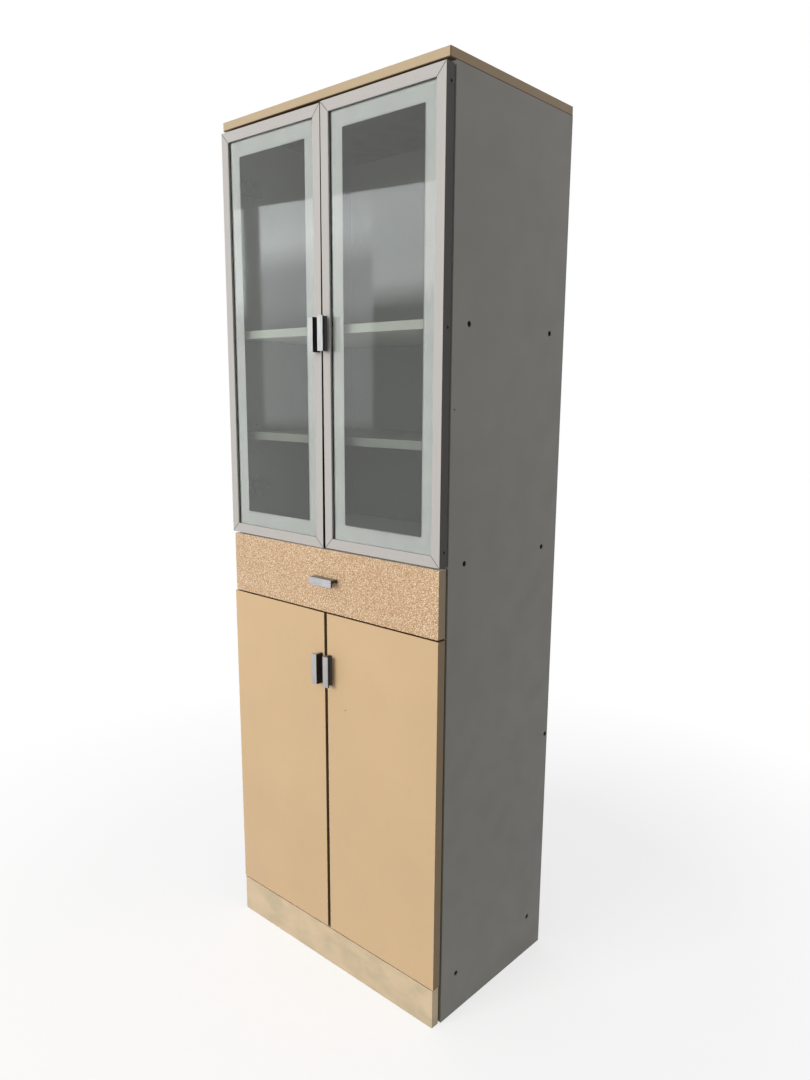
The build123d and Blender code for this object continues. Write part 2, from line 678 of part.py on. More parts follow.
def save_drawer():
    save("drawer_front", drawer_front())
    for side in ("left", "right"):
        save(f"drawer_side_{side}", on_side(drawer_side(), side))
    save("drawer_back", drawer_back())
    save("drawer_bottom", drawer_bottom())
    rear_axle = axle(REAR_ROLLER_Y, BOX_OUT_X + STEEL, ROLLER_X[1] + AXLE_END_GAP)
    save("drawer_runners", both_sides(drawer_runner()) + both_sides(rear_axle))
    save("drawer_rollers", both_sides(roller(REAR_ROLLER_Y)))
    grip, face = drawer_handle()
    save("drawer_handle", grip)
    save("drawer_handle_face", face)


os.makedirs("parts", exist_ok=True)
save_carcass()
save_doors()
save_drawer()
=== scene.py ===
"""Looks of a tall kitchen cupboard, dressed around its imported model.

Everything is in metres in the model's own frame: +X right, +Y back, +Z up, with the origin on
the floor under the middle of the cupboard. MM turns millimetres into metres.
"""

from __future__ import annotations

import logging
import math
from collections.abc import Iterable, Sequence
from dataclasses import dataclass, field, replace
from enum import Enum

import bmesh
import bpy
from mathutils import Matrix, Vector

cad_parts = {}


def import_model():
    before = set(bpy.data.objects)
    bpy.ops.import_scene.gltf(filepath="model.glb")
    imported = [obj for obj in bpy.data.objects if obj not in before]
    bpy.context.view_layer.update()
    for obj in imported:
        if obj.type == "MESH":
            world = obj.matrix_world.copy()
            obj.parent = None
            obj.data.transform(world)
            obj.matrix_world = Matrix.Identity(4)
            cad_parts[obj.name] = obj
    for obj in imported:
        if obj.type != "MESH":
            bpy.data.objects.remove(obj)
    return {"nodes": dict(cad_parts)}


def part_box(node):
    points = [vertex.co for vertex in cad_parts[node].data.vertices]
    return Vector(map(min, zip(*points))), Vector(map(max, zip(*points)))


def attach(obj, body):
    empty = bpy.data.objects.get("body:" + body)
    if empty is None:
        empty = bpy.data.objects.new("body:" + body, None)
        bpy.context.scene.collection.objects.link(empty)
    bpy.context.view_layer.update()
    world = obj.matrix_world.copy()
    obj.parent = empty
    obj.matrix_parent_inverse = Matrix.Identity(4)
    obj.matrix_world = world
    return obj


LOG = logging.getLogger("cupboard")
MM = 0.001

Colour = tuple[float, float, float, float]
Span = tuple[float, float]
Socket = bpy.types.NodeSocket

WHITE: Colour = (1.0, 1.0, 1.0, 1.0)
BLACK: Colour = (0.0, 0.0, 0.0, 1.0)
RISE: Span = (0.0, 1.0)
FALL: Span = (1.0, 0.0)
NOISE_SPAN: Span = (0.3, 0.7)
SIDE_SPAN: Span = (0.5, 0.8)
TOP_SPAN: Span = (0.6, 0.9)
SOFT_EDGE = 0.2 * MM
FILM_EDGE = 2 * MM
FAINT_RELIEF = 0.02 * MM


class Side(Enum):
    """The two sides of the cupboard, as its pieces are named."""

    LEFT = "left"
    RIGHT = "right"

    @property
    def outward(self) -> float:
        """Sign along X of the way out of the cupboard on this side."""
        return 1.0 if self is Side.RIGHT else -1.0


class Grain(Enum):
    """Direction of the fine lines in a brushed metal, as stretch factors of its pattern."""

    ACROSS = (0.02, 1.0, 1.0)
    UPRIGHT = (1.0, 1.0, 0.02)


class SheenSide(Enum):
    """Which level faces of a dark coat carry a painted sheen, as the sign of their normal along Z.
    """

    TOP = 1.0
    UNDERSIDE = -1.0


def srgb(red: float, green: float, blue: float) -> Colour:
    """Turn a screen colour of 0 to 255 into Blender's linear colour.

    Args:
        red: Red from 0 to 255.
        green: Green from 0 to 255.
        blue: Blue from 0 to 255.

    Returns:
        The linear colour with full opacity.
    """
    linear = []
    for level in (red, green, blue):
        share = level / 255
        linear.append(share / 12.92 if share <= 0.04045 else ((share + 0.055) / 1.055) ** 2.4)
    return (linear[0], linear[1], linear[2], 1.0)


def shade(colour: Colour, share: float) -> Colour:
    """Return a colour made darker, or lighter by a share above 1, up to white."""
    return tuple(min(1.0, level * share) for level in colour[:3]) + (1.0,)


# ---- shader graphs --------------------------------------------------------------------------
class Graph:
    """A node tree with short ways to add and join nodes."""

    def __init__(self, tree: bpy.types.NodeTree) -> None:
        """Take over a tree and empty it."""
        self.tree = tree
        tree.nodes.clear()

    def add(self, kind: str, inputs: dict | None = None, **settings: object) -> bpy.types.Node:
        """Add a node.

        Args:
            kind: Blender's name of the node type.
            inputs: Values or sockets for its inputs, by name or number.
            **settings: Properties of the node itself.

        Returns:
            The new node.
        """
        node = self.tree.nodes.new(kind)
        for name, value in settings.items():
            setattr(node, name, value)
        for name, value in (inputs or {}).items():
            if isinstance(value, Socket):
                self.tree.links.new(value, node.inputs[name])
            else:
                node.inputs[name].default_value = value
        return node

    def place(self, stretch: Sequence[float] = (1.0, 1.0, 1.0)) -> Socket:
        """Return the piece's own coordinates in metres, each axis times its stretch."""
        own = self.add("ShaderNodeTexCoord").outputs["Object"]
        return self.add("ShaderNodeMapping", {"Vector": own, "Scale": stretch}).outputs[0]

    def along(self, axis: str) -> Socket:
        """Return the piece's own coordinate along X, Y or Z in metres."""
        return self.add("ShaderNodeSeparateXYZ", {0: self.place()}).outputs[axis]

    def noise(self, grain: float, where: Socket, detail: float = 3.0) -> Socket:
        """Return soft noise from 0 to 1.

        Args:
            grain: Size of its features in metres.
            where: Coordinates to draw it on.
            detail: How many finer layers it has.

        Returns:
            The noise value.
        """
        inputs = {"Vector": where, "Scale": 1 / grain, "Detail": detail}
        return self.add("ShaderNodeTexNoise", inputs).outputs["Fac"]

    def ramp(self, value: Socket, stops: Iterable[tuple[float, Colour]]) -> Socket:
        """Turn a value into a colour.

        Args:
            value: The value, from 0 to 1.
            stops: Positions from low to high, each with its colour.

        Returns:
            The colour.
        """
        node = self.add("ShaderNodeValToRGB", {"Fac": value})
        elements = node.color_ramp.elements
        for index, (position, colour) in enumerate(stops):
            stop = elements[index] if index < 2 else elements.new(position)
            stop.position = position
            stop.color = colour
        return node.outputs["Color"]

    def between(self, value: Socket, span: Span, ends: Span = RISE) -> Socket:
        """Map a value from a span to two ends, and keep it there.

        Args:
            value: The value.
            span: Lowest and highest value that are told apart.
            ends: What these two become.

        Returns:
            The mapped value.
        """
        limits = zip(("From Min", "From Max", "To Min", "To Max"), (*span, *ends))
        return self.add("ShaderNodeMapRange", {"Value": value, **dict(limits)}).outputs["Result"]

    def blend(self, share: Socket, first: Socket | Colour, second: Socket | Colour) -> Socket:
        """Mix two colours by a share from 0, the first, to 1, the second."""
        inputs = {0: share, 6: first, 7: second}
        return self.add("ShaderNodeMix", inputs, data_type="RGBA").outputs[2]

    def maths(self, work: str, first: Socket | float, second: Socket | float = 0.0) -> Socket:
        """Join two values by one of Blender's maths operations."""
        return self.add("ShaderNodeMath", {0: first, 1: second}, operation=work).outputs[0]

    def vector(self, work: str, first: Socket, second: Socket | Sequence[float]) -> Socket:
        """Join two vectors by one of Blender's vector operations."""
        return self.add("ShaderNodeVectorMath", {0: first, 1: second}, operation=work).outputs[0]

    def mottle(self, tone: Socket, dark: Colour, light: Colour) -> Socket:
        """Mix two colours by soft noise."""
        return self.ramp(tone, zip(NOISE_SPAN, (dark, light)))

    def uneven(self, tone: Socket, ends: Span) -> Socket:
        """Spread soft noise between two ends."""
        return self.between(tone, NOISE_SPAN, ends)

    def turned(self, axis: str) -> Socket:
        """Return how far a face looks along the piece's own X, Y or Z, from -1 to 1."""
        normal = self.add("ShaderNodeTexCoord").outputs["Normal"]
        return self.add("ShaderNodeSeparateXYZ", {0: normal}).outputs[axis]

    def sideways(self) -> Socket:
        """Return how far a face looks either way along X, from 0 to 1."""
        return self.maths("ABSOLUTE", self.turned("X"))

    def on_sides(self, colour: Socket, edge: Colour) -> Socket:
        """Lay a colour on the faces that look left or right."""
        return self.blend(self.between(self.sideways(), SIDE_SPAN), colour, edge)

    def on_top(self, colour: Socket, top: Colour) -> Socket:
        """Lay a colour on the faces that look up."""
        return self.blend(self.between(self.turned("Z"), TOP_SPAN), colour, top)

    def inside(self, middle: Vector, half: Span) -> Socket:
        """Return 1 in an upright rectangle that faces the front, and 0 round it.

        Args:
            middle: Middle of the rectangle.
            half: Half of its width and of its height.

        Returns:
            The value, which changes over a few millimetres.
        """
        shares = []
        for axis, centre, reach in (("X", middle.x, half[0]), ("Z", middle.z, half[1])):
            away = self.maths("ABSOLUTE", self.maths("SUBTRACT", self.along(axis), centre))
            shares.append(self.between(away, (reach - FILM_EDGE, reach + FILM_EDGE), FALL))
        return self.maths("MULTIPLY", shares[0], shares[1])

    def spot(self, centre: Vector, radius: float) -> Socket:
        """Return 1 inside a small ball and 0 outside it, with a soft rim."""
        away = self.add("ShaderNodeVectorMath", {0: self.place(), 1: centre}, operation="DISTANCE")
        return self.between(away.outputs["Value"], (radius * 0.6, radius), FALL)

    def relief(self, height: Socket, depth: float) -> Socket:
        """Return a normal bent by a height map of the given depth in metres."""
        return self.add("ShaderNodeBump", {"Height": height, "Distance": depth}).outputs["Normal"]

    def surface(self, shader: bpy.types.Node) -> None:
        """Show a shader's first output on the surface."""
        self.add("ShaderNodeOutputMaterial", {"Surface": shader.outputs[0]})

    def plain(self, colour: Socket | Colour, rough: Socket | float, **more: object) -> None:
        """Show a Principled shader.

        Args:
            colour: Base colour.
            rough: Roughness.
            **more: Other inputs, with an underscore for each space in their names.
        """
        inputs = {"Base Color": colour, "Roughness": rough}
        inputs.update({name.replace("_", " "): value for name, value in more.items()})
        self.surface(self.add("ShaderNodeBsdfPrincipled", inputs))


# ---- finishes -------------------------------------------------------------------------------
@dataclass(frozen=True)
class Finish:
    """A named material. Each kind draws its own shader graph."""

    name: str

    def material(self) -> bpy.types.Material:
        """Find the material, or make it on its first use.

        Returns:
            The material.
        """
        found = bpy.data.materials.get(self.name)
        if found is not None:
            return found
        made = bpy.data.materials.new(self.name)
        made.use_nodes = True
        self.paint(Graph(made.node_tree))
        return made

    def paint(self, graph: Graph) -> None:
        """Draw the shader graph. Each kind of finish has its own."""
        raise NotImplementedError


@dataclass(frozen=True)
class MelamineFoil(Finish):
    """Satin foil on board: faint clouds, fine pearl grain and a few smudges."""

    colour: Colour
    rough: float = 0.42
    clouds: float = 0.05
    smudge: float = 0.05
    edge: Colour | None = None
    underside: Colour | None = None
    shade_below: float | None = None
    top: Colour | None = None
    marks: tuple[tuple[Vector, float], ...] = field(default=(), hash=False)
    cloud_size: float = 0.22
    smear_size: float = 0.035
    smear_span: Span = (0.58, 0.78)
    sheen_size: float = 0.05
    grain_size: float = 0.9 * MM
    seam: Colour = srgb(104, 80, 54)
    seam_span: Span = (0.2, 0.35)
    seam_end: Span = (0.94, 0.99)
    mark: Colour = srgb(62, 48, 36)

    def paint(self, graph: Graph) -> None:
        """Draw clouds, smudges, pearl grain, the edges' own tones, any painted shade and any small
        dark marks.

        Args:
            graph: The tree to draw in.
        """
        where = graph.place()
        cloud = graph.noise(self.cloud_size, where, detail=2.0)
        colour = graph.mottle(
            cloud, shade(self.colour, 1 - self.clouds), shade(self.colour, 1 + self.clouds)
        )
        streaks = graph.noise(self.smear_size, graph.place((1.0, 1.0, 0.6)), detail=5.0)
        smear = graph.maths("MULTIPLY", graph.between(streaks, self.smear_span), self.smudge * 4)
        colour = graph.blend(smear, colour, shade(self.colour, 0.8))
        if self.edge is not None:
            colour = self.with_edges(graph, colour)
        # Painted shade: faces that look down take a dark brown, for the shade in the gap under the
        # board.
        if self.underside is not None:
            down = graph.between(graph.turned("Z"), (-0.9, -0.6), FALL)
            colour = graph.blend(down, colour, self.underside)
        # Painted shadow: a thin strip at the foot of the front takes the same dark brown.
        if self.shade_below is not None:
            span = (self.shade_below - SOFT_EDGE, self.shade_below + SOFT_EDGE)
            shade_strip = graph.between(graph.along("Z"), span, FALL)
            colour = graph.blend(shade_strip, colour, self.underside)
        # Faces that look up take the top colour, a painted shade on the lower doors for the gap
        # under the drawer.
        if self.top is not None:
            colour = graph.on_top(colour, self.top)
        for centre, radius in self.marks:
            colour = graph.blend(graph.spot(centre, radius), colour, self.mark)
        sheen = graph.noise(self.sheen_size, where, detail=4.0)
        rough = graph.between(sheen, (0.35, 0.65), (self.rough - 0.05, self.rough + 0.07))
        normal = graph.relief(graph.noise(self.grain_size, where, detail=2.0), FAINT_RELIEF)
        graph.plain(colour, rough, Normal=normal, Specular_IOR_Level=0.4)

    def with_edges(self, graph: Graph, colour: Socket) -> Socket:
        """Lay the edge strips' tone on the side faces, with a dark seam on the eased corners.

        Args:
            graph: The tree to draw in.
            colour: Colour of the faces.

        Returns:
            The joined colour.
        """
        colour = graph.on_sides(colour, self.edge)
        sideways = graph.sideways()
        start = graph.between(sideways, self.seam_span)
        corner = graph.maths("MULTIPLY", start, graph.between(sideways, self.seam_end, FALL))
        return graph.blend(corner, colour, self.seam)


@dataclass(frozen=True)
class CrackleLaminate(Finish):
    """Gold-beige laminate pressed with a fine crackle of small pale islands."""

    base: Colour
    vein: Colour
    island: Colour
    edge: Colour
    top: Colour
    cell: float = 3.2 * MM
    wobble: float = 1.5
    levels: tuple[float, float, float] = (0.04, 0.14, 0.26)
    fleck_span: Span = (0.53, 0.64)
    fleck_share: float = 0.85
    pit_span: Span = (0.34, 0.44)
    pit_share: float = 0.75
    warm_size: float = 0.12
    warm_span: Span = (0.35, 0.7)
    warm_share: float = 0.12
    bead: Span = (0.0, 0.3)
    depth: float = 0.25 * MM

    def paint(self, graph: Graph) -> None:
        """Draw islands between darker veins, the same relief, the side edges' tone and a painted
        light on the top edge.

        Args:
            graph: The tree to draw in.
        """
        where = graph.place((0.7, 1.0, 1.0))
        inputs = {"Vector": where, "Scale": 1 / self.cell, "Detail": 2.0}
        wobble = graph.add("ShaderNodeTexNoise", inputs).outputs["Color"]
        shift = graph.vector("SUBTRACT", wobble, (0.5, 0.5, 0.5))
        bent = graph.vector(
            "ADD", where, graph.vector("MULTIPLY", shift, [self.cell * self.wobble] * 3)
        )
        inputs = {"Vector": bent, "Scale": 1 / self.cell}
        cells = graph.add("ShaderNodeTexVoronoi", inputs, feature="DISTANCE_TO_EDGE")
        split = cells.outputs["Distance"]
        colour = graph.ramp(split, zip(self.levels, (self.vein, self.base, self.island)))
        fine = graph.noise(self.cell * 0.5, where, detail=2.0)
        fleck = graph.between(fine, self.fleck_span, (0.0, self.fleck_share))
        colour = graph.blend(fleck, colour, self.island)
        fine = graph.noise(self.cell * 0.6, bent, detail=2.0)
        pit = graph.between(fine, self.pit_span, (self.pit_share, 0.0))
        colour = graph.blend(pit, colour, self.vein)
        broad = graph.noise(self.warm_size, where, detail=2.0)
        warm = graph.between(broad, self.warm_span, (0.0, self.warm_share))
        colour = graph.blend(warm, colour, self.vein)
        # The top edge takes a near-white painted light, where it lies in the gap under the glass
        # doors.
        colour = graph.on_top(graph.on_sides(colour, self.edge), self.top)
        graph.plain(
            colour,
            graph.between(split, self.bead, (0.5, 0.28)),
            Normal=graph.relief(graph.between(split, self.bead), self.depth),
            Specular_IOR_Level=0.5,
            Coat_Weight=0.3,
            Coat_Roughness=0.22,
        )


@dataclass(frozen=True)
class MarbledLaminate(Finish):
    """Cream laminate with soft drifting clouds and small specks."""

    pale: Colour
    middle: Colour
    dull: Colour
    drift_size: float = 40 * MM
    levels: tuple[float, float, float] = (0.36, 0.5, 0.66)
    speck_size: float = 3.5 * MM
    speck_span: Span = (0.62, 0.72)
    speck_share: float = 0.45
    grain_size: float = 1.2 * MM
    depth: float = 0.03 * MM

    def paint(self, graph: Graph) -> None:
        """Draw two sizes of cloud and a few fine specks.

        Args:
            graph: The tree to draw in.
        """
        where = graph.place((0.6, 1.0, 1.0))
        drift = graph.noise(self.drift_size, where, detail=6.0)
        colour = graph.ramp(drift, zip(self.levels, (self.dull, self.middle, self.pale)))
        fine = graph.noise(self.speck_size, where, detail=2.0)
        speck = graph.between(fine, self.speck_span, (0.0, self.speck_share))
        colour = graph.blend(speck, colour, self.dull)
        normal = graph.relief(graph.noise(self.grain_size, where, detail=2.0), self.depth)
        rough = graph.uneven(drift, (0.42, 0.5))
        graph.plain(colour, rough, Normal=normal, Specular_IOR_Level=0.4)


@dataclass(frozen=True)
class BrushedMetal(Finish):
    """Metal with fine drawn lines. Its faces on one side, left or right, may carry a painted shade.
    """

    colour: Colour
    grain: Grain
    rough: float = 0.34
    metallic: float = 0.85
    contrast: float = 0.12
    side_shade: Colour | None = None
    toward: float = 1.0
    line_size: float = 0.6 * MM
    patch_size: float = 60 * MM
    patch_span: Span = (0.35, 0.6)
    line_share: float = 0.7
    depth: float = 0.01 * MM

    def paint(self, graph: Graph) -> None:
        """Draw lines along the grain, in colour, roughness and relief.

        Args:
            graph: The tree to draw in.
        """
        lines = graph.noise(self.line_size, graph.place(self.grain.value), detail=4.0)
        patches = graph.noise(self.patch_size, graph.place(), detail=2.0)
        dark = shade(self.colour, 1 - self.contrast)
        colour = graph.mottle(lines, dark, shade(self.colour, 1 + self.contrast / 2))
        worn = graph.between(patches, self.patch_span, (self.contrast * 1.5, 0.0))
        colour = graph.blend(worn, colour, dark)
        # Painted shade: faces that look one way along X take a darker colour.
        if self.side_shade is not None:
            turned = graph.maths("MULTIPLY", graph.turned("X"), self.toward)
            colour = graph.blend(graph.between(turned, SIDE_SPAN), colour, self.side_shade)
        fine = graph.maths("MULTIPLY", lines, self.line_share)
        broad = graph.maths("MULTIPLY", patches, 1 - self.line_share)
        streak = graph.maths("ADD", fine, broad)
        rough = graph.uneven(streak, (self.rough - 0.06, self.rough + 0.08))
        normal = graph.relief(lines, self.depth)
        graph.plain(colour, rough, Normal=normal, Metallic=self.metallic)


@dataclass(frozen=True)
class SatinCoat(Finish):
    """Thin paint or moulded plastic with a fine orange-peel skin."""

    colour: Colour
    rough: float = 0.4
    skin: float = 1.5 * MM
    gloss: float = 0.5

    def paint(self, graph: Graph) -> None:
        """Draw a slightly uneven tone and skin.

        Args:
            graph: The tree to draw in.
        """
        where = graph.place()
        tone = graph.noise(self.skin * 8, where)
        colour = graph.mottle(tone, shade(self.colour, 0.88), self.colour)
        rough = graph.uneven(tone, (self.rough - 0.05, self.rough + 0.08))
        normal = graph.relief(graph.noise(self.skin, where, detail=2.0), FAINT_RELIEF)
        graph.plain(colour, rough, Normal=normal, Specular_IOR_Level=self.gloss)


@dataclass(frozen=True)
class PaintedSheenCoat(Finish):
    """Dark paint or rubber, paler along an inner lip and with a painted sheen on its faces that
    look one way along Z.
    """

    colour: Colour
    pale: Colour
    sheen_side: SheenSide
    rough: float = 0.6
    gloss: float = 0.3
    lip_from: float | None = None
    tone_size: float = 4 * MM
    dust_and_sheen_span: Span = (0.5, 0.9)

    def paint(self, graph: Graph) -> None:
        """Draw an uneven tone, the painted sheen on the level faces and the lip, which starts at a
        depth along Y.

        Args:
            graph: The tree to draw in.
        """
        tone = graph.noise(self.tone_size, graph.place())
        colour = graph.mottle(tone, shade(self.colour, 0.7), self.colour)
        # Painted sheen: the level faces on the chosen side are paler, standing in for light falling
        # on them.
        level = graph.maths("MULTIPLY", graph.turned("Z"), self.sheen_side.value)
        colour = graph.blend(graph.between(level, self.dust_and_sheen_span), colour, self.pale)
        if self.lip_from is not None:
            span = (self.lip_from - SOFT_EDGE, self.lip_from + SOFT_EDGE)
            colour = graph.blend(graph.between(graph.along("Y"), span), colour, self.pale)
        rough = graph.uneven(tone, (self.rough - 0.05, self.rough + 0.08))
        normal = graph.relief(tone, FAINT_RELIEF)
        graph.plain(colour, rough, Normal=normal, Specular_IOR_Level=self.gloss)


@dataclass(frozen=True)
class WoodBoard(Finish):
    """Plain wood or pressed fibre with long or short figure."""

    light: Colour
    dark: Colour
    stretch: tuple[float, float, float] = (1.0, 1.0, 0.08)
    figure: float = 4 * MM
    depth: float = 0.06 * MM

    def paint(self, graph: Graph) -> None:
        """Draw the figure, long where it is stretched.

        Args:
            graph: The tree to draw in.
        """
        lines = graph.noise(self.figure, graph.place(self.stretch), detail=5.0)
        colour = graph.mottle(lines, self.dark, self.light)
        rough = graph.uneven(lines, (0.7, 0.58))
        graph.plain(colour, rough, Normal=graph.relief(lines, self.depth))


@dataclass(frozen=True)
class ClearPane(Finish):
    """Clear, faintly green glass. The lamp's rays pass it through a film that dims them."""

    tint: Colour
    rim_film: Colour
    middle_film: Colour
    middle: Vector = field(default_factory=Vector, hash=False)
    half: Span = (0.1, 0.35)
    dust_size: float = 20 * MM
    dust_and_sheen_span: Span = (0.4, 0.7)
    rough: Span = (0.015, 0.03)

    def paint(self, graph: Graph) -> None:
        """Draw glass for sight and a tinted opening for the lamp's rays.

        Args:
            graph: The tree to draw in.
        """
        dust = graph.noise(self.dust_size, graph.place((1.0, 1.0, 0.3)), detail=5.0)
        look = {
            "Base Color": self.tint,
            "Roughness": graph.between(dust, self.dust_and_sheen_span, self.rough),
            "IOR": 1.5,
            "Transmission Weight": 1.0,
        }
        glass = graph.add("ShaderNodeBsdfPrincipled", look).outputs[0]
        film = graph.blend(graph.inside(self.middle, self.half), self.rim_film, self.middle_film)
        opening = graph.add("ShaderNodeBsdfTransparent", {"Color": film}).outputs[0]
        shadow = graph.add("ShaderNodeLightPath").outputs["Is Shadow Ray"]
        graph.surface(graph.add("ShaderNodeMixShader", {0: shadow, 1: glass, 2: opening}))


@dataclass(frozen=True)
class FrostedFilm(Finish):
    """Milky etched band behind a pane."""

    colour: Colour
    tone_size: float = 50 * MM

    def paint(self, graph: Graph) -> None:
        """Draw a milky surface that glows a little with what is behind it.

        Args:
            graph: The tree to draw in.
        """
        tone = graph.noise(self.tone_size, graph.place())
        colour = graph.mottle(tone, shade(self.colour, 0.94), self.colour)
        rough = graph.uneven(tone, (0.55, 0.65))
        graph.plain(colour, rough, Transmission_Weight=0.08, Specular_IOR_Level=0.3)


BEIGE = srgb(218, 186, 144)
EDGE_BROWN = srgb(138, 116, 84)
# Painted shade: the lower doors' top faces, in the gap under the drawer.
DOOR_TOP_SHADE = srgb(112, 82, 50)
# Painted shade under the top board and along the foot of its front.
UNDER_TOP_SHADE = srgb(96, 72, 48)
GREY_FOIL = MelamineFoil("foil_grey", srgb(139, 137, 130), rough=0.4, clouds=0.04, smudge=0.03)
BEIGE_FOIL = MelamineFoil(
    "foil_beige", BEIGE, clouds=0.03, smudge=0.04, edge=EDGE_BROWN, top=DOOR_TOP_SHADE
)
WHITE_FOIL = MelamineFoil("foil_white", srgb(216, 214, 204), rough=0.45, clouds=0.02, smudge=0.02)
SHELF_FOIL = replace(WHITE_FOIL, name="foil_shelf", colour=srgb(152, 151, 143))
CRACKLE = CrackleLaminate(
    "laminate_crackle",
    base=srgb(217, 179, 137),
    vein=srgb(178, 133, 86),
    island=srgb(252, 230, 197),
    edge=EDGE_BROWN,
    # Painted light: the near-white top edge, in the gap under the glass doors.
    top=srgb(250, 238, 220),
)
MARBLED = MarbledLaminate(
    "laminate_marbled",
    pale=srgb(228, 204, 169),
    middle=srgb(219, 197, 163),
    dull=srgb(207, 188, 156),
)
FIBRE = WoodBoard(
    "fibreboard", srgb(132, 129, 118), srgb(122, 119, 109), stretch=(1.0, 1.0, 1.0), figure=1.5 * MM
)
PINE = WoodBoard("pine_block", srgb(214, 180, 128), srgb(188, 146, 96))
# Painted shade on the stiles' sides: the outer hinge side, and the near-black side toward the gap
# between the doors.
HINGE_SIDE_SHADE = srgb(66, 62, 58)
GAP_SHADE = srgb(16, 15, 15)
RAIL_METAL = BrushedMetal(
    "aluminium_level", srgb(198, 193, 188), Grain.ACROSS, rough=0.55, metallic=0.2, contrast=0.06
)
ZINC = BrushedMetal(
    "zinc_plate", srgb(176, 177, 180), Grain.UPRIGHT, rough=0.38, metallic=0.9, contrast=0.06
)
FACE_UPRIGHT = BrushedMetal(
    "grip_face_upright", srgb(200, 200, 200), Grain.UPRIGHT, metallic=0.7, contrast=0.35
)
FACE_LEVEL = BrushedMetal(
    "grip_face_level", srgb(206, 208, 214), Grain.ACROSS, metallic=0.7, contrast=0.35
)
# Painted sheen: the pale colour of the grips' top faces and of the gasket's down-facing faces.
GRIP_COAT = PaintedSheenCoat(
    "grip_black", srgb(36, 34, 32), srgb(122, 118, 112), SheenSide.TOP, rough=0.36, gloss=0.45
)
GASKET = PaintedSheenCoat("gasket_black", srgb(20, 20, 20), srgb(150, 156, 150), SheenSide.UNDERSIDE)
BLACK_SCREW = SatinCoat("screw_black", srgb(16, 15, 14), rough=0.7, skin=1 * MM, gloss=0.1)
RUNNER_COAT = SatinCoat("runner_cream", srgb(226, 222, 210), rough=0.35)
NYLON = SatinCoat("nylon_white", srgb(232, 231, 226), rough=0.45)
PAD = SatinCoat("bumper_clear", srgb(206, 206, 200), rough=0.3)
SEAM = SatinCoat("seam_dark", srgb(44, 41, 38), rough=0.7, gloss=0.2)
FROST = FrostedFilm("pane_frost", srgb(230, 228, 227))
PANE = ClearPane(
    "pane_clear",
    tint=(0.935, 0.985, 0.95, 1.0),
    rim_film=(0.96, 0.98, 0.97, 1.0),
    middle_film=(0.20, 0.23, 0.21, 1.0),
)


# ---- making and dressing pieces -------------------------------------------------------------
WELD_REACH = 0.01 * MM
SHARP_ANGLE = math.radians(50)


def dress(node: bpy.types.Object, finish: Finish) -> None:
    """Give every material slot of an object one finish.

    Args:
        node: The object.
        finish: Its finish.
    """
    material = finish.material()
    if not node.material_slots:
        node.data.materials.append(material)
    for slot in node.material_slots:
        slot.material = material
    LOG.info("dressed %s in %s", node.name, finish.name)


def ease_edges(node: bpy.types.Object, width: float) -> None:
    """Round the sharp edges of a node with modifiers.

    Args:
        node: The node.
        width: Width of the rounding in metres.
    """
    weld = node.modifiers.new("join_corners", "WELD")
    weld.merge_threshold = WELD_REACH
    bevel = node.modifiers.new("eased_edges", "BEVEL")
    bevel.width = width
    bevel.segments = 2
    bevel.limit_method = "ANGLE"
    bevel.angle_limit = SHARP_ANGLE


def add_object(name: str, mesh: bmesh.types.BMesh) -> bpy.types.Object:
    """Turn a built mesh into an object of the scene.

    Args:
        name: Name of the object.
        mesh: The built mesh, which is freed.

    Returns:
        The new object.
    """
    data = bpy.data.meshes.new(name)
    mesh.to_mesh(data)
    mesh.free()
    made = bpy.data.objects.new(name, data)
    bpy.context.scene.collection.objects.link(made)
    return made


def add_piece(name: str, mesh: bmesh.types.BMesh, body: str, finish: Finish) -> None:
    """Turn a built mesh into a piece that rides on a body.

    Args:
        name: Name of the piece.
        mesh: The built mesh, which is freed.
        body: The body it moves with.
        finish: Its material.
    """
    bmesh.ops.recalc_face_normals(mesh, faces=mesh.faces)
    piece = add_object(name, mesh)
    dress(piece, finish)
    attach(piece, body)
    LOG.info("made %s on %s", name, body)


def join_loops(mesh: bmesh.types.BMesh, loops: Sequence[Sequence[bmesh.types.BMVert]]) -> None:
    """Skin each loop of corners to the next one.

    Args:
        mesh: The mesh being built.
        loops: Loops with the same number of corners, in order.
    """
    for first, second in zip(loops, loops[1:]):
        for index, corner in enumerate(first):
            following = (index + 1) % len(first)
            mesh.faces.new((second[index], second[following], first[following], corner))


def add_prism(mesh: bmesh.types.BMesh, outline: Sequence[Vector], depth: Vector) -> None:
    """Add a closed prism to a mesh.

    Args:
        mesh: The mesh being built.
        outline: Corners of one end, in order.
        depth: From that end to the other.
    """
    near = [mesh.verts.new(point) for point in outline]
    far = [mesh.verts.new(point + depth) for point in outline]
    mesh.faces.new(near)
    mesh.faces.new(list(reversed(far)))
    join_loops(mesh, (near, far))


@dataclass
class Assembly:
    """A sub-assembly of the cupboard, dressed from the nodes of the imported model."""

    nodes: dict[str, bpy.types.Object]

    def dress_nodes(self, finishes: dict[str, Finish]) -> None:
        """Dress nodes.

        Args:
            finishes: The names of nodes, joined by spaces, each with their finish.
        """
        for names, finish in finishes.items():
            for name in names.split():
                dress(self.nodes[name], finish)

    def ease(self, names: str, width: float) -> None:
        """Ease the edges of nodes, whose names are joined by spaces."""
        for name in names.split():
            ease_edges(self.nodes[name], width)


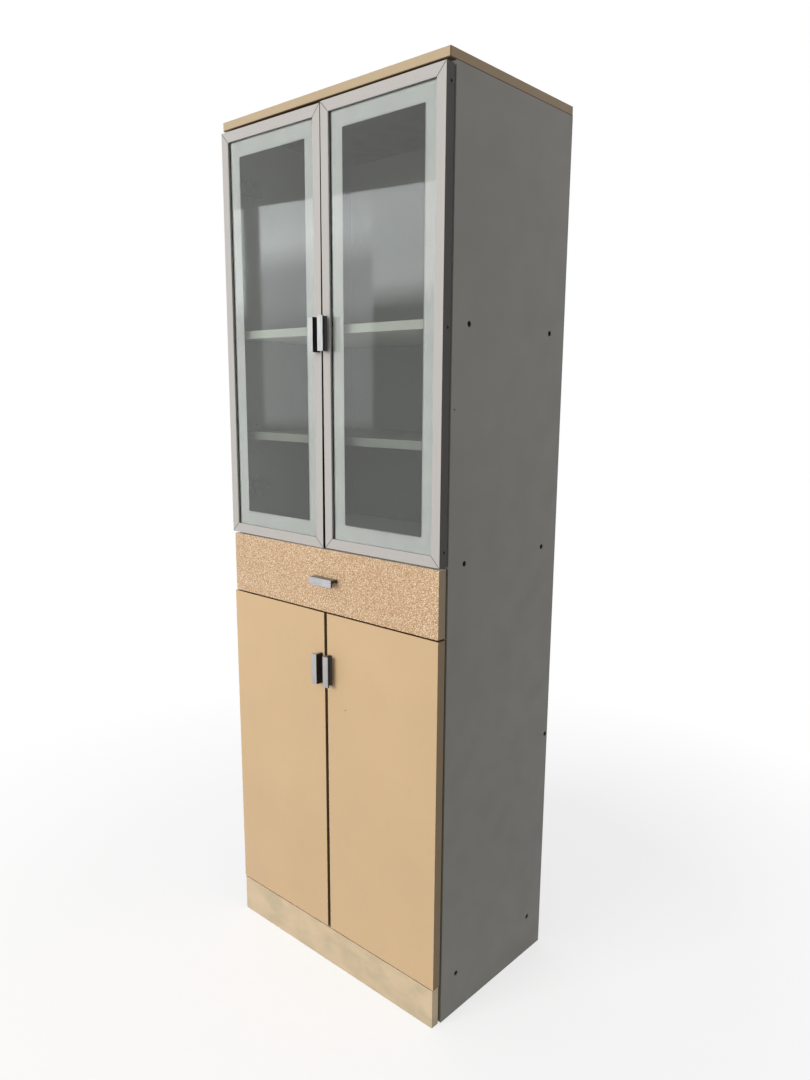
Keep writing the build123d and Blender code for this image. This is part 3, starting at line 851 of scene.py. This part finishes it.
@dataclass
class Carcass(Assembly):
    """The boards that stand still, with what is screwed to them."""

    eased: float = 0.6 * MM
    scuff_height: float = 1.1996
    scuff_from_front: float = 9.4 * MM
    scuff_radius: float = 2.4 * MM
    shade_strip_height: float = 1.5 * MM

    def side_foil(self) -> MelamineFoil:
        """Make the finish of the right side panel, with its small scuff.

        Returns:
            The finish.
        """
        low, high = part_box("side_panel_right")
        spot = Vector((high.x, low.y + self.scuff_from_front, self.scuff_height))
        return replace(GREY_FOIL, name="foil_grey_right", marks=((spot, self.scuff_radius),))

    def top_foil(self) -> MelamineFoil:
        """Make the finish of the top board, with a painted shade under it and along the foot of its
        front.

        Returns:
            The finish.
        """
        return replace(
            BEIGE_FOIL,
            name="foil_beige_top",
            colour=srgb(195, 173, 140),
            edge=srgb(158, 134, 103),
            top=None,
            # Painted shade under the board and in a thin strip along the foot of its front.
            underside=UNDER_TOP_SHADE,
            shade_below=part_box("top_board")[0].z + self.shade_strip_height,
        )

    def build(self) -> None:
        """Dress the boards and the small parts."""
        self.dress_nodes(
            {
                "side_panel_left": GREY_FOIL,
                "side_panel_right": self.side_foil(),
                "top_board": self.top_foil(),
                "kick_board": MARBLED,
                "upper_back_panel lower_back_panel": FIBRE,
                "kick_corner_blocks": PINE,
                "carcass_screws": BLACK_SCREW,
                "door_bumpers": PAD,
                "runner_rails": RUNNER_COAT,
                "cabinet_rollers": NYLON,
                "upper_fixed_shelf middle_board bottom_board back_rail": WHITE_FOIL,
                "upper_loose_shelf lower_loose_shelf": SHELF_FOIL,
                "shelf_pins hinge_mounting_plates hinge_arms hinge_plate_screws": ZINC,
            }
        )
        self.ease("side_panel_left side_panel_right top_board kick_board", self.eased)


@dataclass
class PaneFrame:
    """Where a pane lies: its middle, its level and upright directions, its size and its back."""

    middle: Vector
    across: Vector
    upward: Vector
    width: float
    height: float
    back: float

    @classmethod
    def of(cls, node: bpy.types.Object) -> PaneFrame:
        """Measure a pane, which may hang a little out of square.

        Args:
            node: The pane's node, a flat slab that faces the front.

        Returns:
            Its frame.
        """
        places = {tuple(round(value, 6) for value in vert.co) for vert in node.data.vertices}
        front = min(place[1] for place in places)
        back = max(place[1] for place in places)
        face = sorted((Vector(place) for place in places if place[1] == front), key=lambda p: p.z)
        low_left, low_right = sorted(face[:2], key=lambda p: p.x)
        top_left, top_right = sorted(face[2:], key=lambda p: p.x)
        across, upward = low_right - low_left, top_left - low_left
        return cls(
            middle=(low_left + top_right) / 2,
            across=across.normalized(),
            upward=upward.normalized(),
            width=across.length,
            height=upward.length,
            back=back,
        )

    def at(self, across: float, upward: float, depth: float) -> Vector:
        """Return a point by its distances from the middle, at a depth along Y."""
        point = self.middle + self.across * across + self.upward * upward
        return Vector((point.x, depth, point.z))

    def inset(self, border: float) -> Span:
        """Return half of the width and of the height inside a border."""
        return (self.width / 2 - border, self.height / 2 - border)


@dataclass
class Door(Assembly):
    """What both kinds of door share: their side, their row and their handle."""

    side: Side
    row: str
    grip_eased: float = 0.5 * MM

    @property
    def prefix(self) -> str:
        """Start of the door's node names."""
        return f"{self.row}_{self.side.value}_"

    def dress_door(self, finishes: dict[str, Finish]) -> None:
        """Dress the door's nodes, by the ends of their names, and its handle.

        Args:
            finishes: A finish for each node of this kind of door.
        """
        named = {**finishes, "handle": GRIP_COAT, "handle_face": FACE_UPRIGHT}
        self.dress_nodes({self.prefix + name: finish for name, finish in named.items()})
        self.ease(self.prefix + "handle", self.grip_eased)


@dataclass
class GlassDoor(Door):
    """A framed glass door: mitred profile, pane with a frosted band, handle and hinge blocks."""

    row: str = "upper"
    frame_overlap: float = 13 * MM
    frame_face: float = 20 * MM
    frost_start: float = 5.2 * MM
    frost_end: float = 37 * MM
    film: float = 0.15 * MM
    seam_width: float = 1.0 * MM
    seam_proud: float = 0.02 * MM
    seam_inset: float = 1.0 * MM
    gasket_black: float = 1.2 * MM

    def frosted_ring(self, pane: PaneFrame) -> bmesh.types.BMesh:
        """Build the frosted band behind the pane as one thin closed ring.

        Args:
            pane: The pane that carries it.

        Returns:
            The built mesh.
        """
        mesh = bmesh.new()
        loops = []
        for border, depth in (
            (self.frost_start, pane.back),
            (self.frost_start, pane.back + self.film),
            (self.frost_end, pane.back + self.film),
            (self.frost_end, pane.back),
        ):
            across, upward = pane.inset(border)
            places = ((-across, -upward), (across, -upward), (across, upward), (-across, upward))
            loops.append([mesh.verts.new(pane.at(x, z, depth)) for x, z in places])
        join_loops(mesh, [*loops, loops[0]])
        return mesh

    def mitre_seams(self, pane: PaneFrame, face: float) -> bmesh.types.BMesh:
        """Build the thin dark lines where the bars of the frame meet.

        Args:
            pane: The pane that the bars hold.
            face: Y of the frame's front face.

        Returns:
            The built mesh.
        """
        mesh = bmesh.new()
        start = self.frame_overlap - self.seam_inset
        end = self.frame_overlap - self.frame_face
        half = self.seam_width / 2 * math.sqrt(0.5)
        depth = Vector((0, -self.seam_proud, 0))
        for right in (-1, 1):
            for up in (-1, 1):
                points = []
                for reach, slide in ((start, 1), (start, -1), (end, -1), (end, 1)):
                    across = right * (pane.width / 2 + reach + slide * half)
                    upward = up * (pane.height / 2 + reach - slide * half)
                    points.append(pane.at(across, upward, face))
                add_prism(mesh, points, depth)
        return mesh

    def stile_metal(self, bar: str, toward: float, side_shade: Colour) -> BrushedMetal:
        """Make the finish of an upright bar.

        Args:
            bar: Which bar it is.
            toward: Sign along X of the side that carries the painted shade.
            side_shade: Colour of that painted shade.

        Returns:
            The finish.
        """
        return replace(
            RAIL_METAL,
            name=f"aluminium_{bar}_{self.side.value}",
            grain=Grain.UPRIGHT,
            side_shade=side_shade,
            toward=toward,
        )

    def build(self) -> None:
        """Dress the door and add its frosted band and seams."""
        pane = PaneFrame.of(self.nodes[self.prefix + "glass"])
        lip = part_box(self.prefix + "gasket")[0].y + self.gasket_black
        glass = replace(
            PANE,
            name=f"pane_clear_{self.side.value}",
            middle=pane.middle,
            half=pane.inset(self.frost_end),
        )
        outward = self.side.outward
        self.dress_door(
            {
                # The stiles' sides that look outward and toward the gap carry a painted shade.
                "hinge_stile": self.stile_metal("hinge", outward, HINGE_SIDE_SHADE),
                "centre_stile": self.stile_metal("centre", -outward, GAP_SHADE),
                "top_rail": RAIL_METAL,
                "bottom_rail": RAIL_METAL,
                "gasket": replace(GASKET, lip_from=lip),
                "glass": glass,
                "corner_brackets": ZINC,
                "frame_screws": BLACK_SCREW,
                "hinge_blocks": ZINC,
            }
        )
        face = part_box(self.prefix + "hinge_stile")[0].y
        ring, seams = self.frosted_ring(pane), self.mitre_seams(pane, face)
        body = self.prefix + "door"
        add_piece(self.prefix + "frosted_band", ring, body, FROST)
        add_piece(self.prefix + "mitre_seams", seams, body, SEAM)


@dataclass
class PlainDoor(Door):
    """A plain lower door with its cups and handle."""

    row: str = "lower"
    eased: float = 0.8 * MM
    chip_from_centre: float = 56 * MM
    chip_height: float = 0.599
    chip_radius: float = 1.6 * MM

    def build(self) -> None:
        """Dress the door, with a small chip in the face of the right one."""
        panel = BEIGE_FOIL
        if self.side is Side.RIGHT:
            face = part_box(self.prefix + "door_panel")[0].y
            chip = Vector((self.chip_from_centre, face, self.chip_height))
            panel = replace(panel, name="foil_beige_right", marks=((chip, self.chip_radius),))
        self.dress_door({"door_panel": panel, "hinge_cups": ZINC})
        self.ease(self.prefix + "door_panel", self.eased)


@dataclass
class Drawer(Assembly):
    """The drawer with its front, box, runners and handle."""

    eased: float = 0.8 * MM
    grip_eased: float = 0.5 * MM

    def build(self) -> None:
        """Dress the drawer."""
        self.dress_nodes(
            {
                "drawer_front": CRACKLE,
                "drawer_side_left drawer_side_right drawer_back": WHITE_FOIL,
                "drawer_bottom": FIBRE,
                "drawer_runners": RUNNER_COAT,
                "drawer_rollers": NYLON,
                "drawer_handle": GRIP_COAT,
                "drawer_handle_face": FACE_LEVEL,
            }
        )
        self.ease("drawer_front", self.eased)
        self.ease("drawer_handle", self.grip_eased)


# ---- camera, lamp, card and floor -----------------------------------------------------------
@dataclass
class Studio:
    """A camera at the front right, one soft lamp, a pale card, a plain floor and a surround."""

    place: Vector = field(default_factory=lambda: Vector((1.214997, -1.258246, 1.218607)))
    heading: float = math.radians(41.006)
    downward: float = math.radians(11.261)
    roll: float = math.radians(0.6984)
    lens: float = 27.5611
    shift: Span = (-0.021883, 0.021158)
    sight: float = 50.0
    ambient: float = 0.5
    lamp_place: Vector = field(default_factory=lambda: Vector((-1.4, -6.4, 2.2)))
    lamp_target: Vector = field(default_factory=lambda: Vector((0.0, 0.0, 0.9)))
    lamp_size: float = 3.2
    lamp_watts: float = 250.0
    floor_half: float = 6.0
    floor_matt: float = 0.45
    floor_faint: float = 0.42
    floor_glow: float = 0.66
    floor_fade: Span = (0.8, 1.7)
    card_left: float = -7.8
    card_right: float = -3.1
    card_depth: float = -5.0
    card_low: float = 0.85
    card_tops: Span = (3.28, 3.07)
    card_tint: Colour = (0.95, 0.98, 1.0, 1.0)
    card_glow: float = 4.5
    card_wing: Span = (-6.41, -4.69)
    card_gap: float = -6.7
    card_soft: float = 0.03
    cloud_size: float = 1.1
    cloud_ends: Span = (0.75, 1.0)
    wing_glow: tuple[Span, ...] = (
        (0.85, 0.0),
        (1.0, 0.22),
        (1.95, 0.24),
        (2.15, 0.38),
        (2.5, 0.41),
        (2.8, 0.88),
        (3.28, 0.75),
    )
    open_glow: tuple[Span, ...] = ((2.05, 0.0), (2.3, 0.68), (3.28, 0.72))

    def aim(self) -> Matrix:
        """Work out the camera's turn: heading about Z, then down, then roll.

        Returns:
            The turn.
        """
        ahead = Vector(
            (
                -math.sin(self.heading) * math.cos(self.downward),
                math.cos(self.heading) * math.cos(self.downward),
                -math.sin(self.downward),
            )
        )
        level = Vector((math.cos(self.heading), math.sin(self.heading), 0.0))
        above = level.cross(ahead)
        right = math.cos(self.roll) * level + math.sin(self.roll) * above
        up = math.cos(self.roll) * above - math.sin(self.roll) * level
        return Matrix((right, up, -ahead)).transposed()

    def camera(self) -> None:
        """Make the camera."""
        data = bpy.data.cameras.new("view_camera")
        data.lens = self.lens
        data.shift_x, data.shift_y = self.shift
        data.clip_end = self.sight
        camera = bpy.data.objects.new("view_camera", data)
        camera.matrix_world = Matrix.Translation(self.place) @ self.aim().to_4x4()
        bpy.context.scene.collection.objects.link(camera)
        bpy.context.scene.camera = camera

    def lamp(self) -> None:
        """Add a square soft lamp that lights the cupboard and isn't mirrored in its panes."""
        data = bpy.data.lights.new("key_lamp", "AREA")
        data.size = self.lamp_size
        data.energy = self.lamp_watts
        lamp = bpy.data.objects.new("key_lamp", data)
        turn = (self.lamp_target - self.lamp_place).to_track_quat("-Z", "Y")
        lamp.matrix_world = Matrix.Translation(self.lamp_place) @ turn.to_matrix().to_4x4()
        lamp.visible_glossy = False
        lamp.visible_transmission = False
        bpy.context.scene.collection.objects.link(lamp)

    def surround(self) -> None:
        """Make the world: white for sight and mirrors, softer as light."""
        world = bpy.data.worlds.new("surround")
        world.use_nodes = True
        bpy.context.scene.world = world
        graph = Graph(world.node_tree)
        rays = graph.add("ShaderNodeLightPath").outputs
        seen = graph.maths("MAXIMUM", rays["Is Camera Ray"], rays["Is Glossy Ray"])
        direct = graph.maths("LESS_THAN", rays["Diffuse Depth"], 0.5)
        through = graph.maths("MULTIPLY", rays["Is Transmission Ray"], direct)
        seen = graph.maths("MAXIMUM", seen, through)
        strength = graph.between(seen, RISE, (self.ambient, 1.0))
        sky = graph.add("ShaderNodeBackground", {"Color": WHITE, "Strength": strength})
        graph.add("ShaderNodeOutputWorld", {"Surface": sky.outputs[0]})

    def sheet(self, name: str, look: str, outline: Iterable[Sequence[float]]) -> Graph:
        """Make a flat sheet that isn't part of the cupboard.

        Args:
            name: Name of the sheet.
            look: Name of its material.
            outline: Its four corners, in order.

        Returns:
            The empty graph of its material.
        """
        mesh = bmesh.new()
        mesh.faces.new([mesh.verts.new(point) for point in outline])
        sheet = add_object(name, mesh)
        material = bpy.data.materials.new(look)
        material.use_nodes = True
        sheet.data.materials.append(material)
        return Graph(material.node_tree)

    def floor(self) -> None:
        """Make the pale floor. It keeps a soft shadow and fades into the surround."""
        half = self.floor_half
        signs = ((-1, -1), (1, -1), (1, 1), (-1, 1))
        outline = [(x * half, y * half, 0.0) for x, y in signs]
        graph = self.sheet("floor", "floor_white", outline)
        matt, faint = (
            graph.add("ShaderNodeBsdfDiffuse", {"Color": (level, level, level, 1.0)}).outputs[0]
            for level in (self.floor_matt, self.floor_faint)
        )
        glow, white = (
            graph.add("ShaderNodeEmission", {"Color": WHITE, "Strength": level}).outputs[0]
            for level in (self.floor_glow, 1.0)
        )
        shadowed = graph.add("ShaderNodeAddShader", {0: faint, 1: glow}).outputs[0]
        away = graph.add("ShaderNodeVectorMath", {0: graph.place()}, operation="LENGTH")
        fade = graph.between(away.outputs["Value"], self.floor_fade)
        near = graph.add("ShaderNodeMixShader", {0: fade, 1: shadowed, 2: white}).outputs[0]
        rays = graph.add("ShaderNodeLightPath").outputs
        seen = graph.maths("MAXIMUM", rays["Is Camera Ray"], rays["Is Glossy Ray"])
        seen = graph.maths("MAXIMUM", seen, rays["Is Transmission Ray"])
        graph.surface(graph.add("ShaderNodeMixShader", {0: seen, 1: matt, 2: near}))

    def glow_by_height(self, graph: Graph, stops: Iterable[Span]) -> Socket:
        """Draw a glow that changes with height on the card.

        Args:
            graph: The tree to draw in.
            stops: Heights in metres, each with its glow.

        Returns:
            The glow.
        """
        low, high = self.card_low, max(self.card_tops)
        level = graph.between(graph.along("Z"), (low, high))
        return graph.ramp(
            level, [((z - low) / (high - low), (glow, glow, glow, 1.0)) for z, glow in stops]
        )

    def card(self) -> None:
        """Make a pale card that only shows in glass and gloss.

        It has a bright band with a dimmer wing below it, a dark gap at the wing's left, and an
        open part without a wing at either end.
        """
        left, right, depth = self.card_left, self.card_right, self.card_depth
        top_left, top_right = self.card_tops
        low = self.card_low
        outline = (
            (left, depth, low),
            (right, depth, low),
            (right, depth, top_right),
            (left, depth, top_left),
        )
        graph = self.sheet("band_card", "band_card", outline)
        gap, wing_left, wing_right = (
            graph.between(graph.along("X"), (edge - self.card_soft, edge + self.card_soft))
            for edge in (self.card_gap, *self.card_wing)
        )
        wing = self.glow_by_height(graph, self.wing_glow)
        end = self.glow_by_height(graph, self.open_glow)
        band = graph.blend(wing_left, BLACK, graph.blend(wing_right, wing, end))
        band = graph.blend(gap, end, band)
        drift = graph.noise(self.cloud_size, graph.place((0.5, 1.0, 1.0)))
        cloud = graph.uneven(drift, self.cloud_ends)
        mirrored = graph.add("ShaderNodeLightPath").outputs["Is Glossy Ray"]
        share = graph.maths("MULTIPLY", graph.maths("MULTIPLY", band, cloud), mirrored)
        clear = graph.add("ShaderNodeBsdfTransparent").outputs[0]
        look = {"Color": self.card_tint, "Strength": self.card_glow}
        glow = graph.add("ShaderNodeEmission", look).outputs[0]
        graph.surface(graph.add("ShaderNodeMixShader", {0: share, 1: clear, 2: glow}))

    def build(self) -> None:
        """Set up the view, the light, the card and the floor."""
        bpy.context.scene.view_settings.view_transform = "Standard"
        self.camera()
        self.surround()
        self.lamp()
        self.card()
        self.floor()


def main(frame: dict) -> None:
    """Dress the whole cupboard.
    """
    logging.basicConfig(level=logging.INFO, format="%(name)s: %(message)s")
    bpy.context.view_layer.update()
    Studio().build()
    nodes = frame["nodes"]
    Carcass(nodes).build()
    for side in Side:
        GlassDoor(nodes, side).build()
        PlainDoor(nodes, side).build()
    Drawer(nodes).build()


if __name__ == "__main__":
    main(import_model())
